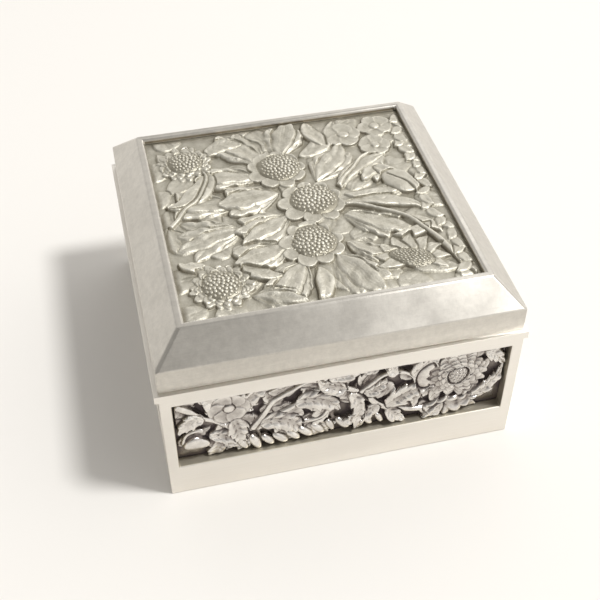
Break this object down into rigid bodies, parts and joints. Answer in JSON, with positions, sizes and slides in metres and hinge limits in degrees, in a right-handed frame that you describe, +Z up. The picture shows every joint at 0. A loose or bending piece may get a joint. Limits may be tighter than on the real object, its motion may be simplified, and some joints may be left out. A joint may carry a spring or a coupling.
{
  "type": "trinket box",
  "caption": "Square cast pewter trinket box with floral relief panels let into its walls and lid, a bevelled lift-off lid seated on a ledge round a collar, and a velvet-lined inside.",
  "frame": {"origin": "centre of the underside, on the surface that the box stands on", "axes": "+Z up, -Y out of the front, +X to the right seen from the front"},
  "size_m": [0.0768, 0.0768, 0.0424],
  "materials": {
    "satin_pewter": "satin pewter, brushed along each face",
    "relief_pewter": "cast pewter relief, lightly darkened in the hollows",
    "antiqued_pewter": "cast pewter relief with a near-black antique patina in the hollows",
    "velvet": "short-pile velvet on card",
    "felt": "pressed wool felt"
  },
  "bodies": {
    "box": {"front_wall": "satin_pewter", "back_wall": "satin_pewter", "left_wall": "satin_pewter", "right_wall": "satin_pewter", "front_relief": "antiqued_pewter", "back_relief": "antiqued_pewter", "left_relief": "antiqued_pewter", "right_relief": "antiqued_pewter", "front_lining": "velvet", "back_lining": "velvet", "left_lining": "velvet", "right_lining": "velvet", "base_plate": "satin_pewter", "base_felt": "felt", "floor_pad": "velvet", "rim_ledge": "satin_pewter", "locating_collar": "satin_pewter"},
    "lid": {"lid_frame": "satin_pewter", "lid_relief": "relief_pewter", "lid_pad": "velvet"}
  },
  "joints": [
    {"name": "lid_lift", "type": "slide", "parent": "box", "child": "lid", "axis": [0, 0, 1], "range_m": [0, 0.06]}
  ]
}
